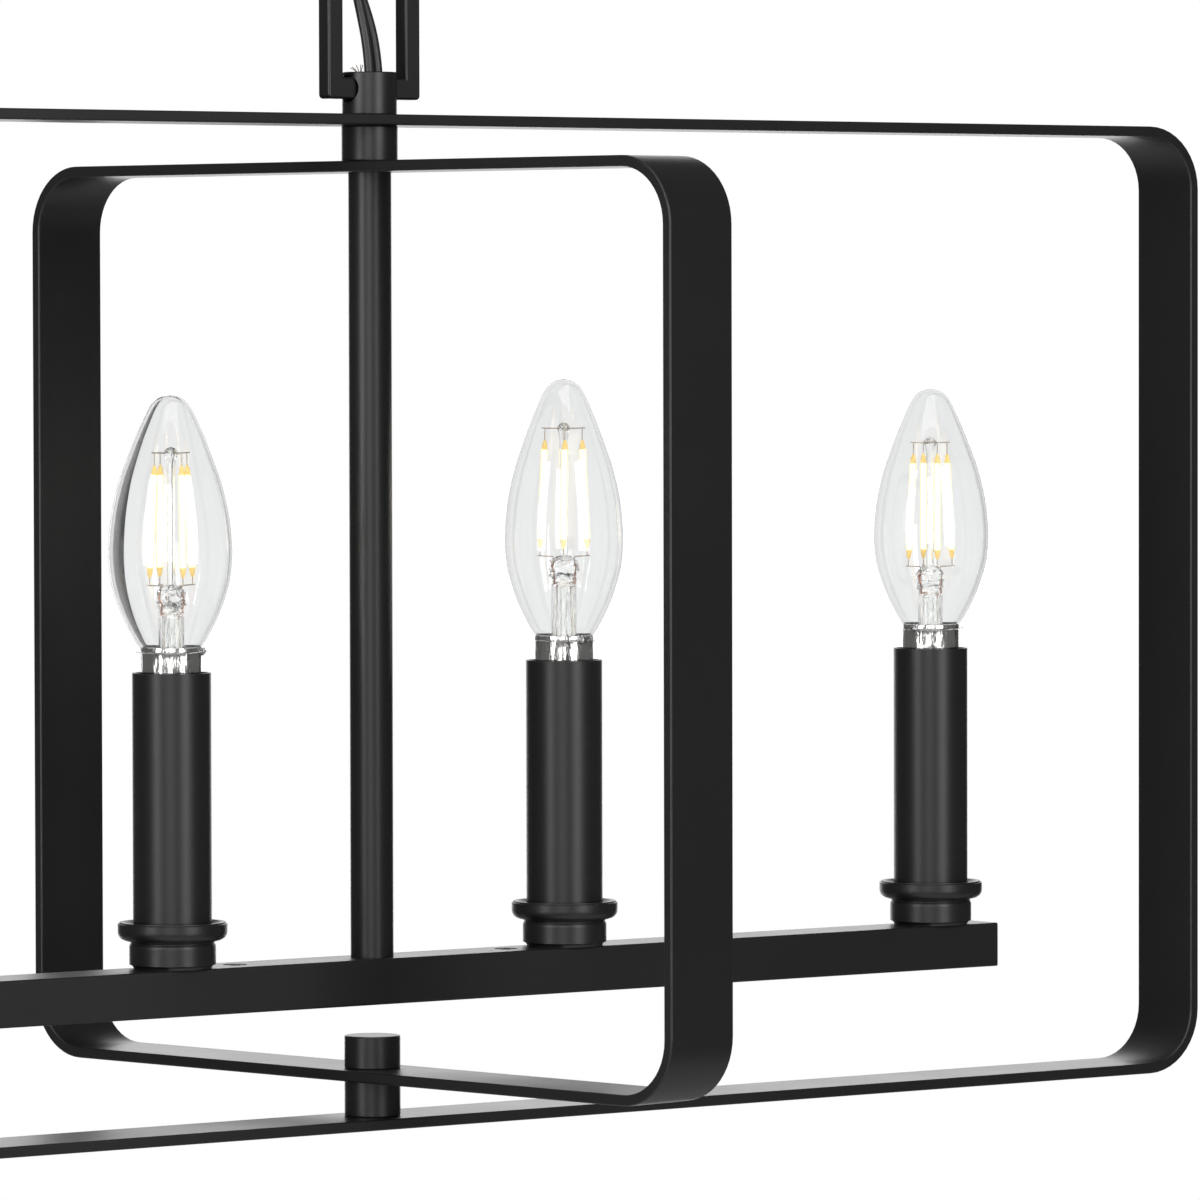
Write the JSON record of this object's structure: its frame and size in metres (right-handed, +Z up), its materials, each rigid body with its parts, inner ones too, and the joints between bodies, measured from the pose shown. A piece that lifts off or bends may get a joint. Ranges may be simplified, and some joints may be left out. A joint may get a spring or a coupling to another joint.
{
  "type": "linear island pendant",
  "caption": "Linear ceiling pendant: candle lamps on a light bar inside crossed flat-band frames, hung on a stem and links from a round canopy.",
  "frame": {"origin": "ceiling plane, midway between the two slots of the ceiling strap, on the stem's axis", "axes": "+X along the light bar and the outer frame, +Z up; the part hangs below z = 0"},
  "size_m": [0.603, 0.2612, 0.4797],
  "materials": {
    "black_coat": "satin black powder coat",
    "dark_screws": "black oxide",
    "zinc_steel": "zinc plated",
    "green_screw": "green lacquered steel",
    "white_porcelain": "glazed white",
    "shell_brass": "drawn brass",
    "nickel_cap": "bright nickel",
    "clear_glass": "clear blown glass",
    "filament_mount": "glass stem with coated filament rods",
    "black_lead": "smooth insulation",
    "socket_lead": "smooth insulation",
    "bare_copper": "bare strands",
    "white_nylon": "moulded"
  },
  "bodies": {
    "ceiling_fitting": {"ceiling_strap": "zinc_steel", "ground_screw": "green_screw", "ceiling_nipple": "zinc_steel", "ceiling_nuts": "zinc_steel", "canopy": "black_coat", "canopy_ring": "black_coat", "canopy_loop": "black_coat", "lead_wires_upper": "black_lead"},
    "upper_link": {"chain_link_upper": "black_coat"},
    "lower_link": {"chain_link_lower": "black_coat", "lead_wires_middle": "black_lead"},
    "pendant": {"top_hub": "black_coat", "upper_nipple": "zinc_steel", "upper_spacer": "black_coat", "stem": "black_coat", "stem_nipple": "zinc_steel", "light_bar": "black_coat", "bar_end_caps": "black_coat", "splice_cover": "black_coat", "inner_strap": "zinc_steel", "strap_screws": "dark_screws", "splice_block": "white_nylon", "bar_nuts": "zinc_steel", "cup_nipples": "zinc_steel", "socket_brackets": "zinc_steel", "socket_shells": "shell_brass", "stem_leads": "black_lead", "socket_leads": "socket_lead", "ground_wire": "bare_copper", "lead_wires_lower": "black_lead", "candle_cup_1": "black_coat", "candle_cup_2": "black_coat", "candle_cup_3": "black_coat", "candle_cup_4": "black_coat", "socket_1": "white_porcelain", "socket_2": "white_porcelain", "socket_3": "white_porcelain", "socket_4": "white_porcelain"},
    "outer_frame": {"outer_frame": "black_coat", "lower_spacer": "black_coat", "bottom_screw": "dark_screws", "lower_finial": "black_coat"},
    "inner_frame": {"inner_frame": "black_coat"},
    "lamp_1": {"lamp_cap_1": "nickel_cap", "lamp_glass_1": "clear_glass", "lamp_mount_1": "filament_mount"},
    "sleeve_1": {"candle_sleeve_1": "black_coat"},
    "lamp_2": {"lamp_cap_2": "nickel_cap", "lamp_glass_2": "clear_glass", "lamp_mount_2": "filament_mount"},
    "sleeve_2": {"candle_sleeve_2": "black_coat"},
    "lamp_3": {"lamp_cap_3": "nickel_cap", "lamp_glass_3": "clear_glass", "lamp_mount_3": "filament_mount"},
    "sleeve_3": {"candle_sleeve_3": "black_coat"},
    "lamp_4": {"lamp_cap_4": "nickel_cap", "lamp_glass_4": "clear_glass", "lamp_mount_4": "filament_mount"},
    "sleeve_4": {"candle_sleeve_4": "black_coat"}
  },
  "joints": [
    {"name": "upper_link_swing", "type": "hinge", "parent": "ceiling_fitting", "child": "upper_link", "pos_m": [0, 0, -0.057], "axis": [1, 0, 0], "range_deg": [-25, 25], "deforming": ["lead_wires_upper"]},
    {"name": "lower_link_swing", "type": "hinge", "parent": "upper_link", "child": "lower_link", "pos_m": [0, 0, -0.11822], "axis": [0, 1, 0], "range_deg": [-25, 25], "deforming": ["lead_wires_middle"]},
    {"name": "hub_swing", "type": "hinge", "parent": "lower_link", "child": "pendant", "pos_m": [0, 0, -0.17943], "axis": [1, 0, 0], "range_deg": [-35, 35], "deforming": ["lead_wires_lower", "stem_leads", "ground_wire"]},
    {"name": "outer_frame_swivel", "type": "hinge", "parent": "pendant", "child": "outer_frame", "pos_m": [0, 0, -0.17943], "axis": [0, 0, 1], "continuous": true},
    {"name": "inner_frame_swivel", "type": "hinge", "parent": "pendant", "child": "inner_frame", "pos_m": [0, 0, -0.17943], "axis": [0, 0, 1], "range_deg": [-86, 70]},
    {"name": "lamp_1_turn", "type": "hinge", "parent": "pendant", "child": "lamp_1", "pos_m": [-0.2058, 0, -0.35], "axis": [0, 0, 1], "range_deg": [0, 900]},
    {"name": "sleeve_1_lift", "type": "slide", "parent": "pendant", "child": "sleeve_1", "axis": [0, 0, 1], "range_m": [0, 0.006]},
    {"name": "lamp_2_turn", "type": "hinge", "parent": "pendant", "child": "lamp_2", "pos_m": [-0.0686, 0, -0.35], "axis": [0, 0, 1], "range_deg": [0, 900]},
    {"name": "sleeve_2_lift", "type": "slide", "parent": "pendant", "child": "sleeve_2", "axis": [0, 0, 1], "range_m": [0, 0.006]},
    {"name": "lamp_3_turn", "type": "hinge", "parent": "pendant", "child": "lamp_3", "pos_m": [0.0686, 0, -0.35], "axis": [0, 0, 1], "range_deg": [0, 900]},
    {"name": "sleeve_3_lift", "type": "slide", "parent": "pendant", "child": "sleeve_3", "axis": [0, 0, 1], "range_m": [0, 0.006]},
    {"name": "lamp_4_turn", "type": "hinge", "parent": "pendant", "child": "lamp_4", "pos_m": [0.2058, 0, -0.35], "axis": [0, 0, 1], "range_deg": [0, 900]},
    {"name": "sleeve_4_lift", "type": "slide", "parent": "pendant", "child": "sleeve_4", "axis": [0, 0, 1], "range_m": [0, 0.006]}
  ]
}
